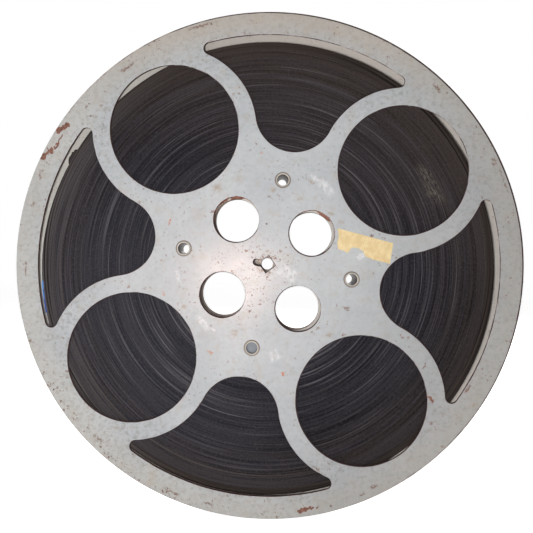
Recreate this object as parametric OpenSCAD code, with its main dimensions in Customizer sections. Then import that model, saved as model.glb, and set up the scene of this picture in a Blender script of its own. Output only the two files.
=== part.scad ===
// A cine film reel: two pressed steel flanges riveted over a core drum, with film wound on the drum
// The reel stands upright, its axis along Y and its front flange towards -Y

/* [Flanges] */
// Outer diameter of each flange
flange_d = 349.25; // [330:0.25:400]
// Thickness of the flange sheet
sheet_t = 1; // [0.6:0.1:2]
// Width of the rim outside the bell openings
rim_w = 16.05; // [10:0.05:22]
// Direction of the first round opening, seen from the front
pattern_angle = 34.5; // [0:0.5:90]

/* [Openings] */
// Diameter of the four round openings
hole_d = 88.7; // [70:0.1:100]
// Width of the rim outside the round openings
hole_rim_w = 16.9; // [12:0.05:24]
// Width of the web between a round opening and a bell opening
web_w = 13.15; // [8:0.05:15]
// Width of the solid hub between the drum and a bell opening
hub_w = 15.05; // [8:0.05:22]
// Radius of the rounded tips of a bell opening
tip_r = 3.8; // [1:0.1:5]

/* [Hub] */
// Outer diameter of the core drum
drum_d = 128.6; // [116:0.2:140]
// Wall of the core drum
drum_wall = 0.9; // [0.5:0.1:2]
// Width of the slot in the drum that takes the film's inner end
drum_slot_w = 1.6; // [0.8:0.1:4]
// Diameter of the four hub holes
hub_hole_d = 31; // [20:0.1:36]
// Width of the metal between a hub hole and the drum
hub_hole_edge = 10.65; // [8:0.05:14]

/* [Spindle] */
// Diameter of the spindle that carries the reel
spindle_d = 7.94; // [6:0.01:9]
// Clearance across the square front hole and the round rear hole
spindle_clearance = 0.16; // [0.05:0.01:0.4]
// Width of the keyway beside the square hole
key_w = 3.6; // [2:0.1:4]
// Length of the keyway past the corner of the square hole
key_l = 3.7; // [2:0.1:5]

/* [Rivets] */
// Outer diameter of the hollow rivets
rivet_d = 8.8; // [6:0.1:11]
// Wall of the hollow rivets
rivet_wall = 0.6; // [0.4:0.1:1]
// Width of a rivet head outside its tube
head_lip = 0.95; // [0.6:0.05:2]
// Height of a rivet head above the flange
head_t = 0.5; // [0.3:0.05:0.6]
// Clearance round a rivet in its flange hole
rivet_clearance = 0.05; // [0.02:0.01:0.2]
// Clearance between the rivets and the drum that they centre
drum_clearance = 0.3; // [0.1:0.05:0.6]

/* [Film] */
// Width of the film
film_w = 16; // [8:0.5:35]
// Clearance between the film and each flange
film_side_gap = 0.6; // [0.2:0.05:1.5]
// Width of the flange left bare outside the film
film_bare = 18.35; // [14:0.05:40]
// Thickness of the film
film_t = 0.15; // [0.1:0.01:0.3]
// Clearance between the film and the drum
film_drum_gap = 0.1; // [0.05:0.01:0.4]
// Turns in the loose outer end of the film
tail_turns = 6; // [2:1:12]
// Gap between the loose turns
tail_gap = 0.45; // [0.43:0.01:0.8]
// Direction of the film's outer end
tail_angle = 188; // [0:1:360]
// How far the outer film sags off the reel's axis
film_sag = 2.8; // [0:0.1:3]
// Direction of the sag
sag_angle = -112; // [-180:1:180]
// Length of the film's inner end inside the drum
film_head_l = 5; // [2:0.5:8]

/* [Tapes] */
// Thickness of the adhesive tapes
tape_t = 0.15; // [0.1:0.01:0.3]
// Length of the tape on the film's outer end
tail_tape_l = 20; // [10:1:40]
// Width of that tape's front edge, folded over the film
tail_tape_lip = 1; // [0.5:0.1:3]
// Clearance between that tape and the film
tail_tape_gap = 0.05; // [0.02:0.01:0.2]
// Length of the label tape on the front flange
label_l = 39; // [30:1:44]
// Width of the label tape
label_w = 14; // [8:0.5:16]
// Slant of the label tape
label_angle = -15.2; // [-30:0.1:0]
// Width of the bite torn out of the label tape
bite_w = 12.6; // [4:0.1:15]
// Depth of the bite torn out of the label tape
bite_d = 4.3; // [1:0.1:6]

/* [Hidden] */
$fn = 96;

// Pattern of the openings
openings = 4;
half_angle = 180 / openings;
arc_step = 6;
tip_step = 24;
overlap = 1;

// Widths along the axis
flange_gap = film_w + 2 * film_side_gap;
outer_z = flange_gap / 2 + sheet_t;

// Radii of the drum, the rivets and the hub holes
drum_r = drum_d / 2;
drum_in_r = drum_r - drum_wall;
rivet_circle_r = drum_in_r - drum_clearance - rivet_d / 2;
hub_hole_circle_r = drum_in_r - hub_hole_edge - hub_hole_d / 2;

// Spindle holes
spindle_hole = spindle_d + spindle_clearance;
square_corner_r = spindle_hole / sqrt(2);
key_end_r = square_corner_r + key_l;

// Round openings, and the circles that the webs round them follow
flange_r = flange_d / 2;
hole_circle_r = flange_r - hole_rim_w - hole_d / 2;
ring_r = hole_d / 2 + web_w;

// A bell opening: its inner lobe touches both neighbouring rings, and so do its rounded tips
bell_r = flange_r - rim_w;
bell_in_r = drum_r + hub_w;
hole_at = polar(hole_circle_r, half_angle);
lobe_r = (pow(ring_r, 2) - pow(bell_in_r, 2) - pow(hole_circle_r, 2) + 2 * bell_in_r * hole_at.x)
    / (2 * (bell_in_r - hole_at.x - ring_r));
lobe_at = [bell_in_r + lobe_r, 0];
tip_circle_r = bell_r - tip_r;
tip_angle = half_angle - acos((pow(hole_circle_r, 2) + pow(tip_circle_r, 2) - pow(ring_r + tip_r, 2))
    / (2 * hole_circle_r * tip_circle_r));
tip_at = polar(tip_circle_r, tip_angle);
tip_to_hole = direction(tip_at, hole_at);
lobe_to_hole = direction(lobe_at, hole_at);

// Film: the loose outer turns wind over a solid pack
film_r = flange_r - film_bare;
tail_pitch = film_t + tail_gap;
tail_in_r = film_r - film_t - tail_turns * tail_pitch;
pack_r = tail_in_r - tail_gap;
sag_at = polar(film_sag, sag_angle);
turn_steps = 45;
tail_steps = tail_turns * turn_steps;
tail_start = tail_angle - tail_turns * 360;
stub_angle = film_t / pack_r * 180 / PI;
tail_inside = [for (i = [0:tail_steps]) tail_point(i, 0)];
tail_outside = [for (i = [0:tail_steps]) tail_point(i, film_t)];
tail_gaps = [for (i = [0:tail_steps - turn_steps]) norm(tail_inside[i + turn_steps] - tail_outside[i])];
echo(str("Least gap between the turns of the film's outer end, mm: ", min(tail_gaps)));

// Tapes
tail_tape_r = film_r + tail_tape_gap;
tail_tape_angle = tail_tape_l / film_r * 180 / PI;
label_inset = 4.5;
label_turn = 7.75;
label_at = polar(rivet_circle_r - label_inset, pattern_angle - label_turn);
label_skew = 1.5;
bite_from = 11;
bite_steps = 8;
torn_left = 2.2;

function polar(r, a) = [r * cos(a), r * sin(a)];
function direction(from, to) = atan2(to.y - from.y, to.x - from.x);
function reversed(points) = [for (i = [len(points) - 1:-1:0]) points[i]];
function flipped(points) = [for (p = points) [p.x, -p.y]];

// Points along an arc, without its last point
function arc(centre, r, from, to, step = arc_step) =
    let (steps = ceil(abs(to - from) / step))
    [for (i = [0:steps - 1]) centre + polar(r, from + (to - from) * i / steps)];

// A point on the film's outer end, some way outside its inner face
function tail_point(i, out) =
    polar(tail_in_r + tail_pitch * i / turn_steps + out, tail_start + 360 * i / turn_steps);

// Turns the reel upright, with local +Z towards the front
module upright() {
    rotate([90, 0, 0]) children();
}

module at_each(r, first_angle) {
    for (i = [0:openings - 1])
        rotate(first_angle + i * 360 / openings) translate([r, 0]) children();
}

// One bell opening, along +X: half its outline, from the rim to the hub, and the other half mirrored
module bell() {
    half = concat(arc([0, 0], bell_r, 0, tip_angle),
        arc(tip_at, tip_r, tip_angle, tip_to_hole, tip_step),
        arc(hole_at, ring_r, tip_to_hole - 180, lobe_to_hole - 180),
        arc(lobe_at, lobe_r, lobe_to_hole, 180));
    off_axis = [for (i = [1:len(half) - 1]) half[i]];
    polygon(concat(half, [[bell_in_r, 0]], reversed(flipped(off_axis))));
}

// The flange's outline, without its spindle hole
module flange_outline() {
    difference() {
        circle(d = flange_d);
        at_each(hole_circle_r, pattern_angle) circle(d = hole_d);
        at_each(0, pattern_angle + half_angle) bell();
        at_each(hub_hole_circle_r, pattern_angle) circle(d = hub_hole_d);
        at_each(rivet_circle_r, pattern_angle + half_angle) circle(r = rivet_d / 2 + rivet_clearance);
    }
}

// Square spindle hole with a round-ended keyway on one corner
module square_spindle_hole() {
    square(spindle_hole, center = true);
    rotate(half_angle * 3) {
        translate([0, -key_w / 2]) square([key_end_r - key_w / 2, key_w]);
        translate([key_end_r - key_w / 2, 0]) circle(d = key_w);
    }
}

module front_flange() {
    color([0.72, 0.73, 0.74]) upright() translate([0, 0, flange_gap / 2]) linear_extrude(sheet_t)
        difference() {
            flange_outline();
            rotate(pattern_angle) square_spindle_hole();
        }
}

module rear_flange() {
    color([0.72, 0.73, 0.74]) upright() translate([0, 0, -outer_z]) linear_extrude(sheet_t)
        difference() {
            flange_outline();
            circle(d = spindle_hole);
        }
}

// Rolled strip whose open seam is the film slot
module core_drum() {
    color([0.6, 0.61, 0.62]) upright() difference() {
        cylinder(h = flange_gap, r = drum_r, center = true);
        cylinder(h = flange_gap + 2 * overlap, r = drum_in_r, center = true);
        rotate(pattern_angle) translate([drum_in_r - overlap, -drum_slot_w / 2, -flange_gap / 2 - overlap])
            cube([drum_wall + 2 * overlap, drum_slot_w, flange_gap + 2 * overlap]);
    }
}

// Hollow rivet with a bevelled head on each flange
module hub_rivet(number) {
    bore_r = rivet_d / 2 - rivet_wall;
    head_r = rivet_d / 2 + head_lip;
    end = [[rivet_d / 2, outer_z], [head_r, outer_z], [head_r - head_t, outer_z + head_t],
        [bore_r + head_t, outer_z + head_t], [bore_r, outer_z]];
    color([0.7, 0.7, 0.68]) upright() rotate(pattern_angle + half_angle + (number - 1) * 360 / openings)
        translate([rivet_circle_r, 0]) rotate_extrude() polygon(concat(end, reversed(flipped(end))));
}

// Tightly wound film, with its inner end through the drum's slot
module film_pack() {
    film_in_r = drum_r + film_drum_gap;
    head_r = drum_in_r - film_head_l;
    color([0.17, 0.16, 0.17]) upright() translate([0, 0, -film_w / 2]) linear_extrude(film_w) {
        difference() {
            translate(sag_at) circle(r = pack_r);
            circle(r = film_in_r);
        }
        rotate(pattern_angle) translate([head_r, -film_t / 2]) square([film_in_r + overlap - head_r, film_t]);
    }
}

// Loose outer end of the film, from a short stub on the pack to the taped end
module film_tail() {
    color([0.24, 0.21, 0.19]) upright() translate([0, 0, -film_w / 2]) linear_extrude(film_w)
        translate(sag_at) polygon(concat(tail_outside,
            [for (i = [tail_steps:-1:1]) tail_inside[i]],
            [polar(tail_in_r, tail_start + stub_angle), polar(pack_r, tail_start + stub_angle),
             polar(pack_r, tail_start)]));
}

// Tape across the film's outer end, with its front edge folded over the film's edge
module tail_tape() {
    color([0.2, 0.4, 0.8]) upright() translate(sag_at) rotate(tail_angle - tail_tape_angle / 2)
        rotate_extrude(angle = tail_tape_angle) {
            translate([tail_tape_r, -film_w / 2]) square([tape_t, film_w + tail_tape_gap]);
            translate([tail_tape_r - tail_tape_lip, film_w / 2 + tail_tape_gap])
                square([tail_tape_lip + tape_t, tape_t]);
        }
}

// Torn strip of masking tape on the front flange
module label_tape() {
    bite = [for (i = [bite_steps:-1:0])
        [bite_from + bite_w * i / bite_steps, bite_d * sin(180 * i / bite_steps) - label_w]];
    color([0.9, 0.78, 0.48]) upright() translate([label_at.x, label_at.y, outer_z]) rotate(label_angle)
        linear_extrude(tape_t) polygon(concat([[0, 0], [label_l, 0], [label_l + label_skew, -label_w]],
            bite, [[torn_left * 2, -label_w], [torn_left, -label_w / 2]]));
}

front_flange();
rear_flange();
core_drum();
hub_rivet(1);  // hub_rivet_1
hub_rivet(2);  // hub_rivet_2
hub_rivet(3);  // hub_rivet_3
hub_rivet(4);  // hub_rivet_4
film_pack();
film_tail();
tail_tape();
label_tape();
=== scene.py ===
import math
import random

import bmesh
import bpy
from mathutils import Matrix, Vector


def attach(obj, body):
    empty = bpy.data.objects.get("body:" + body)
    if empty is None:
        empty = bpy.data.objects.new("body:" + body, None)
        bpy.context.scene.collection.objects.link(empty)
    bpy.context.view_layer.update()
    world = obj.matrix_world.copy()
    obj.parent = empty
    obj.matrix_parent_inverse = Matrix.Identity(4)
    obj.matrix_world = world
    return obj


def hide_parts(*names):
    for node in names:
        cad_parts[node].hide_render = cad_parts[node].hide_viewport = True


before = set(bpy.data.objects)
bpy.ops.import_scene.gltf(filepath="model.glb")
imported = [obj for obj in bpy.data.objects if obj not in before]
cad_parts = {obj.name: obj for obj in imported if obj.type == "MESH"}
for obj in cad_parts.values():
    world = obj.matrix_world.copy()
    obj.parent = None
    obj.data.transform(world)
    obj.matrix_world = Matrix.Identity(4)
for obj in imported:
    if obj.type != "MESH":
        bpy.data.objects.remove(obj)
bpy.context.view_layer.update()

# The core drum is the steel strip between the flanges that the film is wound on, rolled round until its
# ends almost meet. The seam left open is the slot for the film's inner end, and the flanges clamp the
# strip edge on.
drum_outer, drum_wall, drum_width, drum_edge = 64.3, 0.9, 17.2, 0.2
drum_edge_steps, drum_steps = 2, 160
film_slot, slot_angle = 1.6, math.radians(34.5)
seam = film_slot / 2 / drum_outer
axis_point, towards_front, full_turn = (0, 0, 0), Vector((0, -1, 0)), 2 * math.pi
to_metres = 0.001


def tint(red, green, blue):
    """A colour as a screen shows it, from 0 to 255, made linear for a shader"""
    share = [c / 255 for c in (red, green, blue)]
    return [c / 12.92 if c < 0.04045 else ((c + 0.055) / 1.055) ** 2.4 for c in share] + [1.0]


class Finish:
    """A procedural surface: its patterns read the piece's own Object coordinates, in metres"""

    def __init__(self, name, colour=None):
        self.material = bpy.data.materials.new(name)
        self.material.use_nodes = True
        tree = self.material.node_tree
        self.nodes, self.links = tree.nodes, tree.links
        self.shader = self.nodes["Principled BSDF"]
        self.place = self.node("ShaderNodeTexCoord").outputs["Object"]
        self.colour = colour

    def node(self, kind, **settings):
        made = self.nodes.new(kind)
        for name, value in settings.items():
            setattr(made, name, value)
        return made

    def feed(self, socket, value):
        """Links an output to a socket, or sets a constant on it"""
        if isinstance(value, bpy.types.NodeSocket):
            self.links.new(value, socket)
        else:
            socket.default_value = value

    def work(self, operation, *values):
        made = self.node("ShaderNodeMath", operation=operation)
        for socket, value in zip(made.inputs, values):
            self.feed(socket, value)
        return made.outputs[0]

    def axes(self):
        """A point's own X, Y and Z"""
        made = self.node("ShaderNodeSeparateXYZ")
        self.feed(made.inputs[0], self.place)
        return made.outputs

    def stretch(self, scale, place=None, turn=(0, 0, 0), move=(0, 0, 0)):
        made = self.node("ShaderNodeMapping")
        self.feed(made.inputs["Vector"], place or self.place)
        made.inputs["Scale"].default_value = scale
        made.inputs["Rotation"].default_value = turn
        made.inputs["Location"].default_value = move
        return made.outputs[0]

    def cloud(self, scale, detail=3.0, roughness=0.55, place=None, output="Fac"):
        """A soft noise"""
        made = self.node("ShaderNodeTexNoise")
        self.feed(made.inputs["Vector"], place or self.place)
        made.inputs["Scale"].default_value = scale
        made.inputs["Detail"].default_value = detail
        made.inputs["Roughness"].default_value = roughness
        return made.outputs[output]

    def ramp(self, value, low, high, start=0.0, end=1.0):
        """Eases from start to end while a value goes from low to high"""
        made = self.node("ShaderNodeMapRange", interpolation_type="SMOOTHSTEP")
        for socket, given in zip(made.inputs, (value, low, high, start, end)):
            self.feed(socket, given)
        return made.outputs[0]

    def blend(self, share, under, over):
        made = self.node("ShaderNodeMix", data_type="RGBA")
        for index, value in ((0, share), (6, under), (7, over)):
            self.feed(made.inputs[index], value)
        return made.outputs[2]

    def coat(self, share, over, strength=None):
        """Lays one more colour over those so far, where a share from 0 to 1 says so"""
        if strength is not None:
            share = self.work("MULTIPLY", share, strength)
        self.colour = self.blend(share, self.colour, over)

    def carried(self, name):
        """An attribute that the piece carries on its vertices"""
        return self.node("ShaderNodeAttribute", attribute_name=name).outputs["Fac"]

    def surface(self, roughness, height=None, depth=0.0, **sockets):
        sockets.update(Base_Color=self.colour, Roughness=roughness)
        for name, value in sockets.items():
            self.feed(self.shader.inputs[name.replace("_", " ")], value)
        if height is not None:
            bump = self.node("ShaderNodeBump")
            bump.inputs["Distance"].default_value = depth
            self.feed(bump.inputs["Height"], height)
            self.links.new(bump.outputs[0], self.shader.inputs["Normal"])
        return self.material


def whole(shape):
    """All that a shape is made of"""
    return shape.verts[:] + shape.edges[:] + shape.faces[:]


def turn_about(shape, angle, verts):
    """Turns vertices about the reel's axis, anticlockwise as seen from the front"""
    bmesh.ops.rotate(shape, cent=axis_point, matrix=Matrix.Rotation(angle, 3, towards_front), verts=verts)


def revolve(shape, angle, steps, **joining):
    """Carries all of a shape round the reel's axis"""
    bmesh.ops.spin(shape, geom=whole(shape), cent=axis_point, axis=towards_front, angle=angle, steps=steps,
                   **joining)


def fit(name, shape, material, slot, *nodes, weld=0.0005, crease=35):
    """Takes a shape drawn in millimetres, closes it, and sets it on the reel in place of its CAD nodes"""
    bmesh.ops.remove_doubles(shape, verts=shape.verts, dist=weld)
    bmesh.ops.recalc_face_normals(shape, faces=shape.faces)
    for face in shape.faces:
        face.smooth = True
    for edge in shape.edges:
        if edge.is_manifold and edge.calc_face_angle() > math.radians(crease):
            edge.smooth = False
    bmesh.ops.scale(shape, vec=(to_metres,) * 3, verts=shape.verts)
    mesh = bpy.data.meshes.new(name)
    shape.to_mesh(mesh)
    shape.free()
    mesh.materials.append(material)
    piece = bpy.data.objects.new(name, mesh)
    bpy.context.scene.collection.objects.link(piece)
    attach(piece, "root")
    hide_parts(*nodes)


drum = bmesh.new()
section = bmesh.ops.create_grid(drum, x_segments=1, y_segments=1, size=0.5)["verts"]
bmesh.ops.scale(drum, vec=(drum_wall, drum_width, 1), verts=section)
bmesh.ops.translate(drum, vec=(drum_outer - drum_wall / 2, 0, 0), verts=section)
bmesh.ops.bevel(drum, geom=section, offset=drum_edge, offset_type="OFFSET", segments=drum_edge_steps,
                profile=0.5, affect="VERTICES", material=-1)
turn_about(drum, slot_angle + seam, drum.verts)
revolve(drum, full_turn - 2 * seam, drum_steps)

rolled = Finish("rolled_steel", tint(150, 148, 144))
rolling = rolled.cloud(900, 2, place=rolled.stretch((0.05, 1, 0.05)))
rolled.coat(rolled.cloud(60), tint(176, 174, 170))
rolled.coat(rolled.ramp(rolled.cloud(140, 4), 0.6, 0.74), tint(120, 92, 72))
rolled_steel = rolled.surface(rolled.ramp(rolling, 0.2, 0.8, 0.35, 0.6), rolling, 0.00003, Metallic=0.6)
fit("core_drum_strip", drum, rolled_steel, "drum_steel", "core_drum")

# The two flanges are pressed from 1 mm steel sheet: a round blank with four round openings, four bell
# openings between them, hub and rivet holes, and edges rounded by the press. Light grey enamel covers
# them, chipped to rust.
flange_radius, sheet, lip_steps = 174.57, 1.0, 4
rim_width, web, hub_width, bell_tip = 16.0, 13.15, 15.05, 3.8
opening_radius, opening_circle = 44.35, 113.375
hub_hole, rear_hub_hole, hub_hole_circle = 15.5, 15.65, 37.25
rivet_circle, rivet_hole = 58.7, 4.45
spindle_hole, key_width, key_length = 8.1, 3.6, 3.7
flange_middle = 9.1
flange_face, inner_face = flange_middle + sheet / 2, flange_middle - sheet / 2
eighth = math.radians(45)
flat_to_upright = Matrix.Rotation(math.radians(90), 4, "X")

# Edges are worn, and painted shade makes them darker and reach farther in where they face up and to the
# right, away from the lamp
away_from_lamp = Vector((0.8, 0, 0.6))
wear_lines, wear_reach, reach_gain, wear_fade = [0.75, 1.05, 1.4], 0.75, 0.25, 0.25
edge_strength, shade_gain, lit_side_loss = 0.9, 0.15, 0.35
rim_zone, rim_reach, rim_strength, rim_gain = 2, 0.3, 0.55, 0.5


def polar(radius, angle):
    """A point some way from the reel's axis, at an angle up from the right as seen from the front"""
    return Vector((radius * math.cos(angle), 0, radius * math.sin(angle)))


def bearing(start, end):
    """The angle at which one point sees another"""
    return math.atan2(end.z - start.z, end.x - start.x)


def corner(made):
    """The one vertex in what an operator made"""
    return next(part for part in made if isinstance(part, bmesh.types.BMVert))


def join(shape, *verts):
    """Draws edges from each vertex to the next"""
    for start, end in zip(verts, verts[1:]):
        shape.edges.new((start, end))


def mirror(shape, axis):
    """Adds a shape's other half"""
    bmesh.ops.mirror(shape, geom=whole(shape), matrix=Matrix.Identity(4), merge_dist=0.001, axis=axis)


def punch(sheet_metal, across, angle, radius, steps):
    """The edge of a round hole, some way from the reel's axis"""
    bmesh.ops.create_circle(sheet_metal, segments=steps, radius=radius,
                            matrix=Matrix.Translation(polar(across, angle)) @ flat_to_upright)


def sweep(sheet_metal, start, centre, turn, steps):
    """Carries a vertex round a centre, with an edge behind it, and gives the vertex where it stops"""
    swept = bmesh.ops.spin(sheet_metal, geom=[start], cent=centre, axis=towards_front, angle=turn,
                           steps=steps)
    return corner(swept["geom_last"])


def bell_outline(sheet_metal):
    """Half a bell, from rim to hub, then mirrored: its lobe and tips run into the webs' circles"""
    ring = opening_radius + web
    outer, inner = flange_radius - rim_width, drum_outer + hub_width
    opening = polar(opening_circle, eighth)
    lobe = ((ring ** 2 - inner ** 2 - opening_circle ** 2 + 2 * inner * opening.x)
            / (2 * (inner - opening.x - ring)))
    lobe_centre = Vector((inner + lobe, 0, 0))
    tip_circle = outer - bell_tip
    tip_angle = eighth - math.acos((opening_circle ** 2 + tip_circle ** 2 - (ring + bell_tip) ** 2)
                                   / (2 * opening_circle * tip_circle))
    tip_centre = polar(tip_circle, tip_angle)
    tip_end, lobe_start = bearing(tip_centre, opening), bearing(lobe_centre, opening)
    at = sheet_metal.verts.new((outer, 0, 0))
    for centre, turn, steps in ((axis_point, tip_angle, 16), (tip_centre, tip_end - tip_angle, 10),
                                (opening, lobe_start - tip_end, 22), (lobe_centre, math.pi - lobe_start, 16)):
        at = sweep(sheet_metal, at, centre, turn, steps)
    mirror(sheet_metal, "Z")
    turn_about(sheet_metal, slot_angle + eighth, sheet_metal.verts)


def keyed_square(sheet_metal):
    """The square spindle hole, with a round-ended keyway out of one corner"""
    before = set(sheet_metal.verts)
    square_corner, half_key = spindle_hole / math.sqrt(2), key_width / 2
    key_end = square_corner + key_length - half_key
    first = sheet_metal.verts.new((square_corner - half_key, 0, -half_key))
    at = sheet_metal.verts.new((key_end, 0, -half_key))
    join(sheet_metal, first, at)
    at = sweep(sheet_metal, at, (key_end, 0, 0), math.pi, steps=10)
    places = ((square_corner - half_key, half_key), (0, square_corner), (-square_corner, 0),
              (0, -square_corner))
    join(sheet_metal, at, *[sheet_metal.verts.new((x, 0, z)) for x, z in places], first)
    turn_about(sheet_metal, slot_angle + 3 * eighth, list(set(sheet_metal.verts) - before))


def press_flange(keyed):
    """One flange, lying round the origin: half its thickness with rounded edges, then mirrored"""
    blank = bmesh.new()
    bell_outline(blank)
    punch(blank, opening_circle, slot_angle, opening_radius, steps=112)
    punch(blank, hub_hole_circle, slot_angle, hub_hole if keyed else rear_hub_hole, steps=64)
    punch(blank, rivet_circle, slot_angle + eighth, rivet_hole, steps=32)
    revolve(blank, math.radians(270), steps=3, use_duplicate=True)
    punch(blank, 0, 0, flange_radius, steps=320)
    if keyed:
        keyed_square(blank)
    else:
        punch(blank, 0, 0, spindle_hole / 2, steps=40)
    bmesh.ops.triangle_fill(blank, use_beauty=True, use_dissolve=False, edges=blank.edges[:],
                            normal=towards_front)
    face = blank.faces[:]
    lip = sheet / 2
    curve = [math.radians(90) * step / lip_steps for step in range(lip_steps + 1)]
    lines = [lip * (1 - math.cos(angle)) for angle in curve] + wear_lines
    for near, far in zip(lines, lines[1:]):
        bmesh.ops.inset_region(blank, faces=face, use_boundary=True, use_even_offset=True,
                               thickness=far - near)
    edge_wear_and_shade = blank.verts.layers.float.new("edge_wear_and_shade")
    reached = {vert for edge in blank.edges if edge.is_boundary for vert in edge.verts}
    line = reached
    for number, from_edge in enumerate(lines[:-1]):
        inwards = {vert: next(edge.other_vert(vert) for edge in vert.link_edges
                              if edge.other_vert(vert) not in reached) for vert in line}
        for vert, inner in inwards.items():
            facing = (vert.co - inner.co).normalized().dot(away_from_lamp)
            reach = wear_reach + reach_gain * facing
            strength = edge_strength + (shade_gain if facing > 0 else lit_side_loss) * facing
            if vert.co.length > flange_radius - rim_zone:
                reach += rim_reach
                strength = rim_strength + rim_gain * facing
            vert[edge_wear_and_shade] = strength * max(0.0, min(1.0, (reach - from_edge) / wear_fade))
            vert.co.y = -lip * math.sin(curve[min(number, lip_steps)])
        line = set(inwards.values())
        reached = reached | line
    for vert in line:
        vert.co.y = -lip
    mirror(blank, "Y")
    return blank


def off_axis(finish, axes):
    """How far a point lies from the reel's axis"""
    squares = [finish.work("POWER", axes[name], 2.0) for name in ("X", "Z")]
    return finish.work("SQRT", finish.work("ADD", *squares))


def astray(finish, swirl, reach):
    """Places moved about by a swirl, so that marks laid there are ragged"""
    made = finish.node("ShaderNodeVectorMath", operation="MULTIPLY_ADD")
    finish.feed(made.inputs[0], swirl)
    made.inputs[1].default_value = (2 * reach, 0.0, 2 * reach)
    finish.feed(made.inputs[2], finish.stretch((1, 1, 1), move=(-reach, 0, -reach)))
    return made.outputs[0]


def measure(finish, place, way, start):
    """How far a point lies along a line, from where the line starts"""
    along = finish.node("ShaderNodeVectorMath", operation="DOT_PRODUCT")
    finish.feed(along.inputs[0], place)
    along.inputs[1].default_value = way
    return finish.work("SUBTRACT", along.outputs["Value"], start)


def marks(finish, spots, place, ragged=True, face=-flange_face, depth=0.9):
    """How far each point is from the nearest of some marks on a flange's face: 1 is a mark's own edge"""
    nearest = None
    off_face = finish.work("ABSOLUTE", measure(finish, place, (0, 1 / to_metres / depth, 0), face / depth))
    for x, z, length, width, slant in spots:
        along = polar(1 / length, math.radians(slant))
        across = polar(1 / width, math.radians(slant + 90))
        centre = Vector((x, 0, z))
        far_along = measure(finish, place, along / to_metres, along.dot(centre))
        far_across = measure(finish, place, across / to_metres, across.dot(centre))
        if ragged:
            reach = finish.work("MAXIMUM", finish.work("ABSOLUTE", far_along),
                                finish.work("ABSOLUTE", far_across))
        else:
            reach = finish.work("MULTIPLY_ADD", far_along, far_along,
                                finish.work("MULTIPLY", far_across, far_across))
            reach = finish.work("SQRT", reach)
        nearest = reach if nearest is None else finish.work("MINIMUM", nearest, reach)
    return finish.work("MAXIMUM", nearest, off_face)


def round_marks(circle, first, reach, shift=Vector()):
    """A round mark at each of the four holes on a circle"""
    places = [polar(circle, first + 2 * eighth * turn) + shift for turn in range(4)]
    return [(place.x, place.z, reach, reach, 0) for place in places]


def specks(finish, scale, share, size, place, smallest=0.2, soft_edge=0.1):
    """Small round specks, one in some of the cells of a scattered pattern, each of its own size"""
    cells = finish.node("ShaderNodeTexVoronoi")
    cells.inputs["Scale"].default_value = scale
    finish.feed(cells.inputs["Vector"], place)
    draw = finish.node("ShaderNodeSeparateColor")
    finish.feed(draw.inputs[0], cells.outputs["Color"])
    radius = finish.work("MULTIPLY", finish.ramp(draw.outputs[0], 1 - share, 1.0, smallest, size),
                         finish.work("GREATER_THAN", draw.outputs[0], 1 - share))
    return finish.ramp(finish.work("SUBTRACT", cells.outputs["Distance"], radius), 0.0, -soft_edge)


# Wear and painted shade as x, z, half length, half width and slant, on the front face unless the name says
# rear
rust_patches = [
    (-139.6, 96.6, 2.2, 2.0, 20), (-142.0, 95.0, 2.4, 1.5, 40), (-144.6, 93.3, 2.9, 2.0, 40),
    (-143.9, 88.1, 2.7, 0.9, 70), (-146.3, 83.2, 4.2, 0.8, 60), (-151.1, 78.8, 2.9, 2.2, 38),
    (-155.1, 75.3, 3.9, 2.1, 45), (25.2, -167.7, 5.0, 1.6, 13), (30.0, -166.9, 2.2, 0.8, 8),
    (34.3, -166.2, 1.0, 0.9, 0), (111.1, -91.5, 1.1, 2.9, 32),
]
front_rim_rust = [(-21.3, 31.1, 15.45, 15.45, 0), (30.9, 21.35, 15.4, 15.4, 0)]
rear_rim_rust = [(-31.2, 45.6, 4.6, 1.3, 40), (-21.4, 47.8, 6.0, 1.6, 2), (40.8, 34.6, 6.0, 1.8, -38)]
rear_hole_shade_rings = round_marks(hub_hole_circle, slot_angle, 16.5, shift=polar(1.0, math.radians(200)))
rivet_rings = round_marks(rivet_circle, slot_angle + eighth, 5.5)
spindle_grit = [(-14.0, -10.0, 44.0, 36.0, 35)]
orange_marks = [
    (-71.7, -20.8, 0.8, 1.8, 14), (-39.8, -60.8, 2.6, 0.9, -28), (10.9, -75.6, 0.9, 1.7, 0),
    (-67.3, 29.2, 0.6, 2.4, -24), (-3.6, 76.7, 1.2, 0.9, 0),
]
brown_spots = [
    (-97.3, 136.7, 5.6, 1.3, 38), (-44.6, 165.3, 9.4, 0.9, 14), (-163.0, 41.7, 2.2, 1.1, 60),
    (-167.7, -3.5, 4.8, 0.6, 90), (-125.8, 109.3, 1.7, 0.9, 45), (-122.4, 103.1, 1.2, 0.8, 20),
    (43.2, -165.2, 1.0, 0.7, 0), (6.6, -173.0, 1.2, 0.7, 0), (-116.1, -121.5, 2.6, 1.8, -30),
    (-65.8, -156.3, 5.4, 0.9, -24), (-40.7, -164.3, 3.4, 0.7, -14), (154.8, 69.6, 1.4, 2.6, 20),
    (161.3, 57.0, 8.0, 0.5, -70), (83.5, 141.9, 0.8, 0.8, 0), (116.4, 120.6, 3.4, 1.3, -55),
    (52.6, -48.9, 1.6, 0.8, 20), (53.6, -30.4, 2.6, 0.9, -14), (47.6, -29.2, 0.9, 1.5, -20),
    (1.6, 46.3, 1.2, 0.9, 0), (71.5, 18.6, 1.3, 1.6, 0), (-37.7, 36.1, 1.6, 1.0, 0),
    (-154.1, 71.0, 0.7, 1.7, 24), (-156.9, 64.4, 1.8, 1.5, 0), (-158.3, 60.6, 0.7, 2.3, 20),
    (136.2, -85.1, 3.4, 0.9, 52), (149.6, -79.5, 0.9, 0.9, 0), (107.2, -69.5, 2.4, 0.5, 60),
    (33.5, -139.8, 3.0, 0.8, -40), (72.6, -151.5, 2.6, 1.0, 20), (64.2, -157.3, 2.0, 0.8, 20),
]
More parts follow.
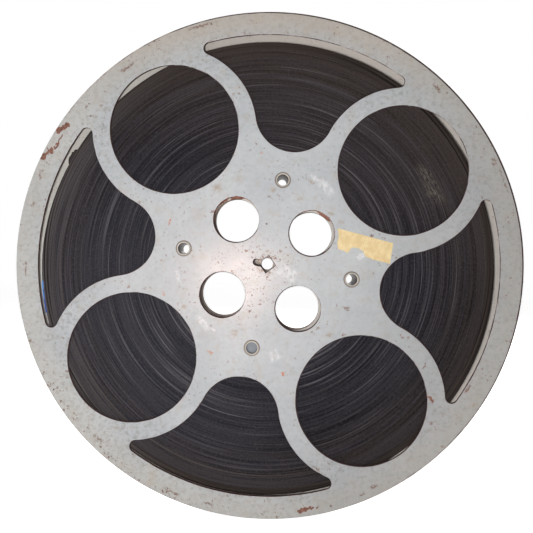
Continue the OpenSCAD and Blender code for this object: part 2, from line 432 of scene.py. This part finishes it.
tan_stains = [
    (-34.6, 52.6, 5.0, 3.8, 20), (4.6, 50.9, 2.6, 1.8, 20), (43.8, 34.6, 2.6, 1.6, 0),
    (50.5, 29.0, 2.6, 1.8, 0), (-22.8, -47.6, 3.0, 3.0, 0), (-57.3, -29.6, 2.1, 1.7, 0),
    (32.5, 45.1, 2.1, 1.7, 0), (30.0, 56.5, 2.8, 1.4, -40), (22.0, 44.6, 2.4, 1.2, 30),
    (-22.0, 16.4, 3.2, 2.4, 0), (14.0, -24.0, 1.6, 2.8, 0), (42.0, -48.6, 3.0, 2.0, 10),
    (139.9, -96.6, 4.0, 2.2, 20),
]
dark_pits = [
    (-0.5, 27.6, 0.85, 0.85, 0), (-12.1, -32.5, 1.0, 0.85, 0), (-10.6, -21.6, 0.6, 0.9, 0),
    (-124.0, 111.4, 0.8, 0.6, 0),
]
scrapes = [
    (40.6, 52.3, 7.8, 3.6, -46), (33.6, 58.6, 5.2, 1.6, -40), (-61.6, -8.4, 1.6, 4.6, 10),
    (-44.5, -40.5, 6.6, 2.6, -50), (-38.5, -45.0, 3.4, 1.4, -30), (63.5, 5.0, 3.6, 2.4, 30),
    (4.4, -62.6, 4.4, 4.6, 30), (14.0, -6.0, 8.0, 5.0, -30), (28.2, 36.9, 2.8, 0.7, -4),
]

# The paint itself: cool grey, soiled and stained, with painted shade greying it to the right and painted
# light making it paler where it faces the film
enamel = Finish("worn_grey_enamel", tint(184, 189, 195))
swirl = enamel.cloud(420, 3, 0.5, output="Color")
wandering, tattered = astray(enamel, swirl, 0.0017), astray(enamel, swirl, 0.0028)
where = enamel.axes()
out_from_axis = off_axis(enamel, where)
near_rim = enamel.ramp(out_from_axis, 0.15, 0.172)

enamel.coat(enamel.ramp(enamel.cloud(26, 4, 0.6), 0.3, 0.72), tint(196, 200, 204))
mottled = enamel.cloud(330, 4, 0.68)
soiling = enamel.work("MULTIPLY_ADD", enamel.ramp(out_from_axis, 0.1, 0.16), 0.45, 0.16)
enamel.coat(enamel.ramp(mottled, 0.44, 0.72), tint(134, 131, 129), soiling)
# Painted light: the inner faces, seen past the film and through the holes, are paler than the front and
# palest on the left
facing_film = enamel.ramp(enamel.work("ABSOLUTE", where["Y"]), 0.0089, 0.0086)
inner_painted_light = enamel.blend(enamel.ramp(where["X"], -0.13, 0.0), tint(224, 222, 216), tint(206, 201, 196))
stained = enamel.ramp(enamel.cloud(95, 5, 0.62), 0.5, 0.72)
enamel.coat(stained, tint(180, 168, 154), enamel.work("MULTIPLY_ADD", near_rim, 0.4, 0.32))
enamel.coat(near_rim, tint(205, 202, 195), 0.5)
# Painted shade: the paint greys towards the right and lower right
shade_to_right = enamel.work("SUBTRACT", where["X"], enamel.work("MULTIPLY", where["Z"], 0.25))
enamel.coat(enamel.ramp(shade_to_right, 0.0, 0.17, 0.0, 0.45), tint(142, 140, 138))
dusty_top = enamel.ramp(where["Z"], 0.1, 0.17, 0.0, 0.35)
enamel.coat(near_rim, tint(190, 172, 154), dusty_top)
# Towards the spindle hole the inner faces turn darker
inner_painted_light = enamel.blend(enamel.ramp(out_from_axis, 0.016, 0.01), inner_painted_light, tint(176, 168, 160))
enamel.coat(facing_film, inner_painted_light, 0.9)

# Specks of rust, gathered in clusters, with grit on the lower left of the rim and by the spindle hole
clusters = enamel.ramp(enamel.cloud(40, 3, 0.6), 0.4, 0.64, 0.12, 1.0)
speckled = enamel.work("MAXIMUM", specks(enamel, 260, 0.15, 0.32, wandering),
                       specks(enamel, 560, 0.22, 0.42, wandering))
speckled = enamel.work("MULTIPLY", speckled, clusters)
enamel.coat(speckled, tint(132, 98, 84), 0.62)
low_left_rim = enamel.work("MULTIPLY", enamel.ramp(enamel.work("ADD", where["X"], where["Z"]), -0.19, -0.235),
                           enamel.ramp(out_from_axis, 0.162, 0.173, 0.15, 1.0))
by_spindle = enamel.ramp(marks(enamel, spindle_grit, enamel.place, ragged=False), 1.0, 0.35)
gathered = enamel.work("MAXIMUM", low_left_rim, by_spindle)
grit = enamel.work("MAXIMUM", specks(enamel, 420, 0.4, 0.42, wandering),
                   specks(enamel, 900, 0.42, 0.45, wandering))
gathered = enamel.work("MULTIPLY", gathered, enamel.ramp(enamel.cloud(120, 4, 0.65), 0.38, 0.54))
enamel.coat(enamel.work("MULTIPLY", grit, gathered), tint(118, 82, 68), 0.85)
spindle_grime = enamel.work("MULTIPLY", enamel.ramp(out_from_axis, 0.0095, 0.0055),
                            enamel.ramp(enamel.cloud(480, 4, 0.7), 0.47, 0.62))
enamel.coat(spindle_grime, tint(122, 92, 74), 0.75)

# Single spots, stains, pits and scrapes, each in its place
fleck = enamel.ramp(enamel.cloud(560, 4, 0.7), 0.37, 0.58)
spotted = enamel.work("MULTIPLY", enamel.ramp(marks(enamel, brown_spots, wandering), 1.3, 0.6), fleck)
enamel.coat(spotted, tint(122, 88, 72), 0.8)
tanned = enamel.work("MULTIPLY", enamel.ramp(marks(enamel, tan_stains, wandering, ragged=False), 1.3, 0.2),
                     enamel.ramp(enamel.cloud(300, 4, 0.6), 0.36, 0.62, 0.25, 1.0))
enamel.coat(tanned, tint(164, 142, 122), 0.65)
orange = enamel.work("MULTIPLY", enamel.ramp(marks(enamel, orange_marks, wandering), 1.2, 0.5), fleck)
enamel.coat(orange, tint(196, 116, 74), 0.9)
pitted = enamel.ramp(marks(enamel, dark_pits, enamel.place, ragged=False), 1.1, 0.6)
enamel.coat(pitted, tint(92, 72, 68), 0.8)
rim_dashes = enamel.cloud(1.0, 4, 0.7, enamel.stretch((160, 1, 620)))
rim_dashes = enamel.work("MULTIPLY", enamel.ramp(rim_dashes, 0.6, 0.7), near_rim)
enamel.coat(rim_dashes, tint(142, 106, 92), 0.55)
scraped = enamel.ramp(marks(enamel, scrapes, wandering), 1.1, 0.45)
scratches = enamel.cloud(330, 6, 0.78, enamel.stretch((1, 1, 0.6), turn=(0, math.radians(-38), 0)))
scraped = enamel.work("MULTIPLY", scraped, enamel.ramp(scratches, 0.36, 0.62))
enamel.coat(scraped, tint(231, 231, 234), 0.65)
# A thin dark line round each rivet head, where it meets the flange
ring_edge = marks(enamel, rivet_rings, enamel.place, ragged=False)
rivet_head_outline = enamel.ramp(enamel.work("ABSOLUTE", enamel.work("SUBTRACT", ring_edge, 0.97)), 0.07, 0.03)
enamel.coat(rivet_head_outline, tint(92, 80, 74), 0.65)

# Paint worn off the outer edges, with painted shade on those facing away from the lamp, rust where it has
# gone, and painted shade round the rear flange's hub holes
lip_noise = enamel.work("MULTIPLY_ADD", enamel.cloud(85, 5, 0.7), 1.3, -0.65)
worn_and_shaded_lip = enamel.ramp(enamel.work("ADD", enamel.carried("edge_wear_and_shade"), lip_noise), 0.3, 0.75)
worn_and_shaded_lip = enamel.work("MULTIPLY", worn_and_shaded_lip, enamel.ramp(enamel.work("ABSOLUTE", where["Y"]), 0.0088, 0.009))
lip_tone = enamel.blend(enamel.ramp(worn_and_shaded_lip, 0.35, 0.95), tint(140, 104, 92), tint(56, 33, 30))
enamel.coat(worn_and_shaded_lip, lip_tone, 0.95)
rim_rust = enamel.ramp(marks(enamel, front_rim_rust, wandering, ragged=False), 1.01, 0.985)
inner_rust = enamel.ramp(marks(enamel, rear_rim_rust, wandering, ragged=False, face=inner_face), 1.1, 0.8)
rim_rust = enamel.work("MAXIMUM", rim_rust, inner_rust)
patches = enamel.ramp(marks(enamel, rust_patches, tattered, ragged=False), 1.05, 0.85)
rusted = enamel.work("MAXIMUM", rim_rust, patches)
rust_tone = enamel.blend(enamel.ramp(enamel.cloud(520, 5, 0.72), 0.36, 0.66), tint(106, 66, 53),
                         tint(166, 112, 93))
enamel.coat(rusted, rust_tone, 0.92)
# Painted shade: a dark ring on the rear flange's inner face round each hub hole, set off to the lower left
hole_shade = marks(enamel, rear_hole_shade_rings, enamel.place, ragged=False, face=inner_face)
enamel.coat(enamel.ramp(hole_shade, 1.02, 0.99), tint(78, 58, 50), 0.8)

# Sound paint shines, and rust and the worn, shade-painted edges don't
paint_gloss = 0.3
enamel_rough = enamel.ramp(enamel.cloud(160, 4, 0.6), 0.3, 0.75, 0.26, 0.33)
enamel_rough = enamel.work("MAXIMUM", enamel_rough, enamel.work("MULTIPLY", rusted, 0.8))
skin = enamel.work("SUBTRACT", enamel.work("MULTIPLY", enamel.cloud(820, 4, 0.65), 0.7),
                   enamel.work("MULTIPLY", enamel.work("MAXIMUM", rusted, speckled), 0.6))
gloss = enamel.ramp(enamel.work("MAXIMUM", rusted, worn_and_shaded_lip), 0, 1, paint_gloss, 0)
enamel_paint = enamel.surface(enamel_rough, skin, 0.00008, Specular_Tint=(1.0, 0.73, 0.63, 1.0),
                              Specular_IOR_Level=gloss)

for flange_name, cad_name, keyed, side in (("rear_flange_pressing", "rear_flange", False, 1),
                                           ("front_flange_pressing", "front_flange", True, -1)):
    flange = press_flange(keyed)
    bmesh.ops.translate(flange, vec=(0, side * flange_middle, 0), verts=flange.verts)
    fit(flange_name, flange, enamel_paint, "grey_paint", cad_name)

# Four hollow rivets hold the flanges to the drum and keep it central. Each is a plated steel tube, pushed
# through both flanges and rolled over into a rounded head at either end, like an eyelet. The lowest is
# filled.
tube_radius, tube_bore, rear_bore = 4.4, 3.8, 3.05
head_radius, head_height = 5.35, 0.5
head_middle, head_start = (tube_bore + head_radius) / 2, flange_face - 0.01
head_steps, tube_steps = 10, 48
filled_rivet, stopper_radius, stopper_depth, stopper_sunk = 2, tube_bore + 0.1, 2.0, 4.6

plated = Finish("dull_plated_steel", tint(166, 159, 151))
tarnish = plated.cloud(380, 4, 0.6)
along_tube = plated.axes()["Y"]
crown = plated.work("MAXIMUM", plated.ramp(along_tube, -0.00965, -0.00995),
                    plated.ramp(along_tube, 0.0082, 0.0086))
to_edge = plated.carried("to_edge")
plated.coat(tarnish, tint(192, 186, 178))
plated.coat(plated.ramp(to_edge, 0.4, 0.62), tint(130, 120, 110))
plated.coat(plated.ramp(to_edge, 0.84, 0.97), tint(88, 75, 68))
plated.coat(plated.ramp(plated.cloud(900, 3), 0.56, 0.7, 0, 0.6), tint(128, 112, 98))
# Painted shade: the inside of each tube, below its heads, is dark brown
plated.colour = plated.blend(crown, tint(60, 50, 45), plated.colour)
plated.coat(plated.carried("filler"), tint(102, 107, 114))
plated_metal = plated.surface(plated.ramp(tarnish, 0.3, 0.7, 0.4, 0.55), tarnish, 0.00004, Metallic=0.25)

for number in range(4):
    rivet = bmesh.new()
    across_head = rivet.verts.layers.float.new("to_edge")
    middle = rivet.verts.new((tube_bore, 0, 0))
    mouth = rivet.verts.new((tube_bore, -flange_face, 0))
    join(rivet, middle, mouth)
    before = set(rivet.verts)
    head = bmesh.ops.spin(rivet, geom=[mouth], cent=(head_middle, -flange_face, 0), axis=(0, 0, 1),
                          angle=math.pi, steps=head_steps)
    bmesh.ops.scale(rivet, vec=(1, head_height / (head_radius - head_middle), 1),
                    space=Matrix.Translation((0, flange_face, 0)), verts=list(set(rivet.verts) - before))
    outside = [rivet.verts.new((tube_radius, y, 0)) for y in (-flange_face, 0)]
    join(rivet, corner(head["geom_last"]), *outside)
    mirror(rivet, "Y")
    for vert in rivet.verts:
        if vert.co.y > head_start:
            vert.co.x -= (tube_bore - rear_bore) * (head_radius - vert.co.x) / (head_radius - tube_bore)
        if abs(vert.co.y) > head_start:
            vert[across_head] = (vert.co.x - tube_bore) / (head_radius - tube_bore)
    revolve(rivet, full_turn, tube_steps, use_merge=True)
    if number == filled_rivet:
        filler = rivet.verts.layers.float.new("filler")
        stopper_place = Matrix.Translation((0, stopper_sunk - flange_face, 0)) @ flat_to_upright
        stopper = bmesh.ops.create_cone(rivet, cap_ends=True, segments=tube_steps, radius1=stopper_radius,
                                        radius2=stopper_radius, depth=stopper_depth, matrix=stopper_place)
        for vert in stopper["verts"]:
            vert[filler] = 1.0
    rivet_place = polar(rivet_circle, slot_angle + eighth * (1 + 2 * number))
    bmesh.ops.translate(rivet, vec=rivet_place, verts=rivet.verts)
    fit(f"eyelet_rivet_{number + 1}", rivet, plated_metal, "rivet_steel", f"hub_rivet_{number + 1}")

# The film is 16 mm acetate stock wound tight on the drum, several hundred turns seen edge on. No two turns
# line up, so the face is a field of fine rings, some proud and some sunk, and the whole roll sags a little
# on its drum.
film_inner, film_outer, film_half = 64.4, 152.05, 8.0
film_depth = film_outer - film_inner
sag = polar(2.8, math.radians(-112))
rings, ring_steps = 230, 144
slow_waves, stray_share, most_sunk, most_proud = 9, 0.04, -0.45, 0.4

# Where the outermost turns are slack or swollen: the middle and half spread in degrees, and the depth
slack_places, slack_falloff = ((145, 35, 1.0), (58, 78, -0.65)), 6

uneven = random.Random(1600)
film_roll = bmesh.new()
winding = film_roll.verts.layers.float.new("winding")


def ring_heights():
    """How far each ring stands out of the film's face: slow bands, a fine scatter, and a few strays"""
    waves = [(uneven.uniform(6, 60), uneven.uniform(0, 6.28), uneven.uniform(0.02, 0.07))
             for _ in range(slow_waves)]
    heights = []
    for ring in range(rings + 1):
        share = ring / rings
        height = sum(size * math.sin(count * share + start) for count, start, size in waves)
        height += uneven.gauss(0, 0.02)
        if uneven.random() < stray_share:
            height += uneven.choice((-1, 1)) * uneven.uniform(0.08, 0.22)
        heights.append(max(most_sunk, min(most_proud, height)))
    return heights


front_heights, back_heights = ring_heights(), ring_heights()
outwards = [film_inner + film_depth * ring / rings for ring in range(rings + 1)]
profile = [(x, -film_half - height) for x, height in zip(outwards, front_heights)]
profile += [(x, film_half + height) for x, height in zip(reversed(outwards), reversed(back_heights))]
outline = [film_roll.verts.new((x, y, 0)) for x, y in profile]
join(film_roll, *outline, outline[0])
for vert in outline:
    vert[winding] = (vert.co.x - film_inner) / film_depth
revolve(film_roll, full_turn, ring_steps, use_merge=True)


def flattened(point):
    """How far the outermost turns dip inside a true circle: slack at the upper left, swollen to its right"""
    dip = 0.0
    for middle, reach, depth in slack_places:
        off = math.degrees(math.atan2(point.z, point.x)) - middle
        if abs(off) < reach:
            dip += depth * math.cos(math.radians(off * 90 / reach)) ** 2
    return dip


for vert in film_roll.verts:
    from_middle = Vector((vert.co.x, 0, vert.co.z)).normalized()
    vert.co += sag * vert[winding] - from_middle * flattened(vert.co) * vert[winding] ** slack_falloff

stock = Finish("wound_film_edges", tint(33, 32, 39))
turn_at = stock.carried("winding")
on_film = stock.axes()


def along_turns(finish, turn, axes, fine, drift):
    """Coordinates in which a noise runs round the roll in fine rings, and changes slowly along each turn"""
    made = finish.node("ShaderNodeCombineXYZ")
    for socket, value, scale in ((0, turn, fine), (1, axes["X"], drift), (2, axes["Z"], drift)):
        finish.feed(made.inputs[socket], finish.work("MULTIPLY", value, scale))
    return made.outputs[0]


streaks = stock.cloud(1.0, 3, 0.6, along_turns(stock, turn_at, on_film, fine=84, drift=11))
bands = stock.cloud(1.0, 3, 0.5, along_turns(stock, turn_at, on_film, fine=15, drift=8))
hairs = stock.cloud(1.0, 2, 0.5, along_turns(stock, turn_at, on_film, fine=175, drift=14))
dust = stock.cloud(640, 4, 0.75)
outer_zone = stock.ramp(stock.work("MULTIPLY_ADD", bands, 0.1, turn_at), 0.93, 0.98)
stock.coat(stock.ramp(turn_at, 0.45, 0.95), tint(45, 39, 38))
stock.coat(stock.ramp(bands, 0.42, 0.66, 0, 0.8), tint(48, 46, 52))
stock.coat(stock.ramp(streaks, 0.48, 0.34, 0, 0.9), tint(10, 9, 12))
quieter_outside = stock.ramp(turn_at, 0.35, 0.8, 0.95, 0.45)
stock.coat(stock.ramp(streaks, 0.55, 0.74), tint(106, 103, 108), quieter_outside)
stock.coat(stock.ramp(hairs, 0.6, 0.76, 0, 0.6), tint(88, 84, 86))
stock.coat(stock.ramp(hairs, 0.4, 0.26, 0, 0.6), tint(14, 12, 15))
outer_tone = stock.blend(stock.ramp(on_film["X"], -0.05, -0.14), tint(54, 48, 48), tint(80, 76, 78))
stock.coat(outer_zone, outer_tone, stock.ramp(streaks, 0.36, 0.6, 0.25, 0.75))
seam_line = stock.ramp(stock.work("ABSOLUTE", stock.work("SUBTRACT", turn_at, 0.9)), 0.008, 0.002)
low_left = stock.ramp(stock.work("ADD", on_film["X"], on_film["Z"]), -0.08, -0.17)
stock.coat(seam_line, tint(92, 82, 76), stock.work("MULTIPLY", low_left, 0.55))
stock.coat(stock.ramp(dust, 0.5, 0.72, 0, 0.5), tint(72, 68, 70))
stock.coat(stock.ramp(dust, 0.47, 0.3, 0, 0.65), tint(13, 12, 14))
up_right = stock.work("MULTIPLY_ADD", on_film["X"], 0.45, on_film["Z"])
stock.coat(stock.ramp(up_right, 0.03, 0.115, 0.0, 0.12), tint(104, 92, 88))
down_left = stock.work("MULTIPLY_ADD", on_film["Z"], 0.6, on_film["X"])
stock.coat(stock.ramp(down_left, -0.03, -0.12, 0.0, 0.11), tint(96, 96, 108))
scuffs = [(113.5, 49.5, 15.0, 8.0, -52), (110.0, 60.0, 15.0, 6.0, -52)]
level_with_face = stock.stretch((1, 0, 1), move=(0, -flange_face * to_metres, 0))
scuffed = stock.ramp(marks(stock, scuffs, level_with_face, ragged=False), 1.0, 0.1)
rubbed = stock.cloud(1.0, 3, 0.7, along_turns(stock, turn_at, on_film, fine=170, drift=300))
stock.coat(stock.work("MULTIPLY", scuffed, stock.ramp(rubbed, 0.44, 0.66)), tint(128, 121, 113), 0.7)
stock_edges = stock.surface(stock.ramp(streaks, 0.3, 0.7, 0.55, 0.42), streaks, 0.00006,
                            Specular_IOR_Level=0.05)
fit("wound_film", film_roll, stock_edges, "film", "film_pack", crease=3)

# The last turns of the film lie looser than the rest and have browned. They are one strip, perforated along
# its front edge, that winds out from the roll to a free end held down by the tape. At the upper left a turn
# is torn and frayed.
strip, tail_angle = 0.15, math.radians(188)
film_edge, plain_turns, perforated_turns, plain_steps = 156.275, 24, 2, 90
perforation_pitch, perforation_length = 7.62, 1.27
perforation_inset, perforation_width = 0.914, 1.829
torn_from, torn_span, torn_reach, torn_steps = math.radians(147.9), math.radians(4.4), 2.6, 18
torn_root, torn_root_lift, torn_lift, torn_sheet = 0.5, 0.04, 0.12, 0.12
perforated_from = -film_half + perforation_inset
row = (-film_half, perforated_from, perforated_from + perforation_width, film_half)

strip_pitch = (film_edge - strip - film_outer) / (plain_turns + perforated_turns)
pitches = round(full_turn * film_edge / perforation_pitch)
angles = [full_turn * step / plain_steps for step in range(plain_turns * plain_steps)]
for hole in range(perforated_turns * pitches + 1):
    start = full_turn * (plain_turns + hole / pitches)
    angles += [start, start + perforation_length / film_edge]
first_angle = tail_angle - angles[-1]

outer_end = bmesh.new()
edge_line = [outer_end.verts.new((film_outer, y, 0)) for y in row]
join(outer_end, *edge_line)
turn_about(outer_end, first_angle, edge_line)
edges, punched = outer_end.edges[:], []
for step, angle in enumerate(angles[1:], 1):
    grown = bmesh.ops.extrude_edge_only(outer_end, edges=edges)["geom"]
    edges = [part for part in grown if isinstance(part, bmesh.types.BMEdge)]
    for vert in (part for part in grown if isinstance(part, bmesh.types.BMVert)):
        across = min(row, key=lambda y: abs(y - vert.co.y))
        vert.co = polar(film_outer + strip_pitch * angle / full_turn, first_angle + angle)
        vert.co -= vert.co.normalized() * flattened(vert.co)
        vert.co.y = across
    if angle >= full_turn * plain_turns and (step - plain_turns * plain_steps) % 2:
        punched += [part for part in grown if isinstance(part, bmesh.types.BMFace)
                    and row[1] < part.calc_center_median().y < row[2]]
bmesh.ops.delete(outer_end, geom=punched, context="FACES_ONLY")
bmesh.ops.recalc_face_normals(outer_end, faces=outer_end.faces)
bmesh.ops.solidify(outer_end, geom=outer_end.faces[:], thickness=strip)

splinters = random.Random(151)
torn = bmesh.ops.create_grid(outer_end, x_segments=torn_steps, y_segments=1, size=0.5)["verts"]
for vert in torn:
    frayed_side, share = vert.co.y > 0, vert.co.x + 0.5
    angle = torn_from + torn_span * share
    out, lift = film_edge - flattened(polar(1, angle)) - torn_root, torn_root_lift
    if frayed_side:
        out += torn_root + torn_reach * math.sin(math.pi * share) ** 0.5 * splinters.uniform(0.45, 1.0)
        lift = torn_lift
    vert.co = polar(out, angle) - Vector((0, film_half + lift, 0))
torn_faces = list({face for vert in torn for face in vert.link_faces})
bmesh.ops.recalc_face_normals(outer_end, faces=torn_faces)
bmesh.ops.solidify(outer_end, geom=torn_faces, thickness=torn_sheet)
bmesh.ops.translate(outer_end, vec=sag, verts=outer_end.verts)

browned_shadowed = Finish("browned_film")
on_strip = browned_shadowed.axes()
from_axis = off_axis(browned_shadowed, on_strip)
turn_tone = browned_shadowed.cloud(1.0, 3, 0.65, along_turns(browned_shadowed, from_axis, on_strip, fine=1000, drift=7))
light_turns = browned_shadowed.blend(browned_shadowed.ramp(on_strip["X"], -0.05, -0.14), tint(66, 57, 53), tint(92, 87, 88))
up_left = browned_shadowed.work("MULTIPLY_ADD", on_strip["X"], -0.5, on_strip["Z"])
# Painted shadow: the outer turns are near black, except towards the top and upper left, where they are brown
browned_shadowed.colour = browned_shadowed.blend(browned_shadowed.ramp(up_left, 0.08, 0.15), tint(20, 16, 16), tint(46, 40, 38))
browned_shadowed.coat(browned_shadowed.ramp(turn_tone, 0.36, 0.68), light_turns)
outer_film = browned_shadowed.surface(browned_shadowed.ramp(turn_tone, 0.3, 0.7, 0.42, 0.3), turn_tone, 0.00005,
                             Specular_IOR_Level=0.08)
fit("film_outer_end", outer_end, outer_film, "film_end", "film_tail")

# A short length of blue plastic tape holds the film's free end. It is wider than the film, so its front
# edge is folded over the edges of the last turns, where it shows in the left-hand bell opening.
tape_angle, tape_length, tape_sheet, tape_lip = math.radians(187.5), 22.5, 0.15, 1.0
tape_radius, tape_span, tape_steps = film_edge + 0.12, tape_length / film_edge, 28

# How the tape lies across the film: out from its own radius, and along the reel's axis
tape_profile = [(0, film_half - 0.1), (0.06, film_half * 0.4), (0, -film_half * 0.3), (0.1, -film_half + 0.5),
                (0, -film_half - 0.04), (-0.3, -film_half - 0.12), (-tape_lip, -film_half - 0.1)]
tape = bmesh.new()
join(tape, *[tape.verts.new((tape_radius + out, y, 0)) for out, y in tape_profile])
turn_about(tape, tape_angle - tape_span / 2, tape.verts)
revolve(tape, tape_span, tape_steps)
bmesh.ops.recalc_face_normals(tape, faces=tape.faces)
bmesh.ops.solidify(tape, geom=tape.faces[:], thickness=tape_sheet)
bmesh.ops.translate(tape, vec=sag, verts=tape.verts)

blue = Finish("blue_plastic_tape", tint(36, 80, 160))
blue_wave = blue.cloud(240, 3, place=blue.stretch((1, 0.3, 0.4)))
blue.coat(blue.ramp(blue.axes()["Z"], -0.027, -0.017), tint(88, 146, 220))
blue.coat(blue.ramp(blue_wave, 0.52, 0.34), tint(30, 62, 140))
blue_tape = blue.surface(blue.ramp(blue_wave, 0.3, 0.7, 0.45, 0.3), blue_wave, 0.0001)
fit("film_end_tape", tape, blue_tape, "blue_tape", "tail_tape")

# A strip of masking tape was stuck on the front flange as a label, and part of it has been torn away again.
# It is creped paper, yellow with age, with a clean cut end, a ragged one and a crumpled flap beside the tear.
label_corner, label_slant = Vector((48.4, 0, 24.4)), math.radians(-15.2)
label_width, paper, paper_gap, ripple = 14, 0.13, 0.02, 0.012
label_columns, label_lines = 96, 36

# The label's outline: its two ends as down and along, its torn edge as along and down
ragged_end = [(0, 0), (3.0, 1.2), (6.2, 2.2), (9.0, 2.0), (13.7, 3.9)]
cut_end = [(0, 39.1), (14.1, 40.6)]
torn_edge = [(0, 13.6), (3.9, 13.7), (6.5, 13.9), (8.4, 13.8), (9.6, 14.6), (11.0, 14.1), (12.5, 10.4),
             (15.0, 9.6), (17.5, 9.7), (20.9, 10.7), (22.4, 12.6), (23.6, 13.8), (29, 14.4), (41, 14.1)]
torn_length, torn_jag, ragged_jag, straight_share = 26, 0.22, 0.3, 0.2
flap_along, flap_down, flap_size, flap_lift = 9.4, 12.6, 2.6, 0.24


def follow(line, at):
    """The other measure of a hand-drawn line, part way along it"""
    for (start, low), (end, high) in zip(line, line[1:]):
        if at <= end:
            return low + (high - low) * max(0.0, (at - start) / (end - start))
    return line[-1][1]


label = bmesh.new()
bmesh.ops.create_grid(label, x_segments=label_columns, y_segments=label_lines, size=0.5)
frayed = random.Random(7)
jag_low = [frayed.uniform(-torn_jag, torn_jag) for _ in range(label_columns + 1)]
jag_left = [frayed.uniform(-ragged_jag, ragged_jag) for _ in range(label_lines + 1)]
for vert in label.verts:
    share_along, share_down = vert.co.x + 0.5, 0.5 - vert.co.y
    column, line = round(share_along * label_columns), round(share_down * label_lines)
    down = share_down * label_width
    left = follow(ragged_end, down) + jag_left[line] * (1 - share_along)
    along = left + (follow(cut_end, down) - left) * share_along
    jag = jag_low[column] if along < torn_length else straight_share * jag_low[column]
    down = share_down * (follow(torn_edge, along) + jag)
    off_flap = ((along - flap_along) ** 2 + (down - flap_down) ** 2) ** 0.5 / flap_size
    lift = flap_lift * max(0.0, 1 - off_flap) * (0.5 + 0.5 * math.sin(4.2 * along + 2.6 * down))
    lift += ripple * math.sin(7 * along + 1.3 * math.sin(1.7 * down))
    vert.co = (along, -flange_face - paper_gap - max(0.0, lift), -down)
bmesh.ops.recalc_face_normals(label, faces=label.faces)
if label.faces[:][0].normal.y > 0:
    bmesh.ops.reverse_faces(label, faces=label.faces)
bmesh.ops.solidify(label, geom=label.faces[:], thickness=-paper)
turn_about(label, label_slant, label.verts)
bmesh.ops.translate(label, vec=label_corner, verts=label.verts)

crepe = Finish("creped_masking_tape", tint(224, 198, 147))
along_label = crepe.stretch((1, 1, 1), turn=(0, label_slant, 0))
creases = crepe.cloud(700, 3, 0.6, crepe.stretch((1.6, 1, 0.35), along_label))
crepe.coat(crepe.ramp(crepe.cloud(230, 3, 0.6), 0.3, 0.72), tint(238, 217, 171))
crepe.coat(crepe.ramp(creases, 0.52, 0.3, 0, 0.45), tint(210, 178, 118))
crepe_paper = crepe.surface(0.75, creases, 0.00018)
fit("masking_tape_label", label, crepe_paper, "masking_tape", "label_tape")

# The reel stands on a plain pale floor in an even white room. The main lamp is a small one close by the
# camera, to its lower left, and a glow lamp beside it adds the shine on paint and film. A weak softbox on
# the left lifts the front's shadows, and a large one lights the back.
floor_size, floor_height, floor_glow, room_level = 8, -flange_radius * to_metres, 0.85, 0.07
view_distance = 0.3675
eye = Vector((-0.0002, -flange_face * to_metres - view_distance, 0.00128))
lamp_place, glow_place = eye + Vector((-0.017, 0, -0.01)), eye + Vector((-0.048, 0, -0.024))
side_place, rear_place = Vector((-0.2, -0.4, 0.0)), Vector((0.35, 0.95, 0.7))
white, warm_white = (1, 1, 1), (1.0, 0.975, 0.95)

bpy.ops.mesh.primitive_plane_add(size=floor_size, location=(0, 0, floor_height))
floor = bpy.context.object
floor.name = "studio_floor"
pale = Finish("pale_floor", tint(238, 238, 236))
rays = pale.node("ShaderNodeLightPath").outputs
seen = pale.work("MAXIMUM", pale.work("MAXIMUM", rays["Is Camera Ray"], rays["Is Glossy Ray"]),
                 rays["Is Transmission Ray"])
pale.surface(0.9, Emission_Color=(*white, 1), Emission_Strength=pale.work("MULTIPLY", seen, floor_glow))
floor.data.materials.append(pale.material)

room = bpy.data.worlds.new("white_room")
bpy.context.scene.world = room
room.use_nodes = True
room_nodes, room_links = room.node_tree.nodes, room.node_tree.links
rays = room_nodes.new("ShaderNodeLightPath").outputs
direct = rays["Is Camera Ray"]
for kind in ("Is Transmission Ray", "Is Glossy Ray"):
    either = room_nodes.new("ShaderNodeMath")
    either.operation = "MAXIMUM"
    room_links.new(direct, either.inputs[0])
    room_links.new(rays[kind], either.inputs[1])
    direct = either.outputs[0]
level = room_nodes.new("ShaderNodeMapRange")
level.inputs["To Min"].default_value = room_level
room_links.new(direct, level.inputs["Value"])
room_links.new(level.outputs[0], room_nodes["Background"].inputs["Strength"])
room_nodes["Background"].inputs["Color"].default_value = (*white, 1)


def hang(name, kind, place, energy, colour):
    """Hangs a lamp at a place, and gives the lamp and its stand"""
    light = bpy.data.lights.new(name, kind)
    light.energy, light.color = energy, colour
    stand = bpy.data.objects.new(name, light)
    stand.location = place
    bpy.context.scene.collection.objects.link(stand)
    return light, stand


def softbox(name, place, size, energy, colour, away):
    """A round lamp that shines away from a direction"""
    light, stand = hang(name, "AREA", place, energy, colour)
    light.shape, light.size = "DISK", size
    stand.rotation_euler = away.to_track_quat("Z", "Y").to_euler()
    return stand


lamp, lamp_stand = hang("camera_lamp", "POINT", lamp_place, energy=3.58, colour=warm_white)
lamp.shadow_soft_size = 0.003
lamp_stand.visible_glossy = False
glow_stand = softbox("glow_lamp", glow_place, size=0.02, energy=0.87, colour=warm_white, away=towards_front)
glow_stand.visible_diffuse = False
softbox("side_softbox", side_place, size=0.1, energy=0.13, colour=warm_white, away=side_place)
softbox("rear_softbox", rear_place, size=0.7, energy=11, colour=white, away=rear_place)

# The camera faces the front flange from about 37 cm. It leans a degree and a half to the upper left, and its
# shift brings the reel back to the middle of the picture.
camera = bpy.data.cameras.new("camera")
camera.sensor_width, camera.lens = 36.0, 36.07
camera.clip_start = 0.01
camera.shift_x, camera.shift_y = 0.0223, -0.0218
camera_stand = bpy.data.objects.new("camera", camera)
camera_stand.location = eye
lean, leftwards, upwards = math.radians(1.53), 0.87, 0.5
aim = Vector((-leftwards * math.sin(lean), math.cos(lean), upwards * math.sin(lean)))
camera_stand.rotation_euler = aim.to_track_quat("-Z", "Y").to_euler()
bpy.context.scene.collection.objects.link(camera_stand)
bpy.context.scene.camera = camera_stand
bpy.context.scene.view_settings.view_transform = "Standard"
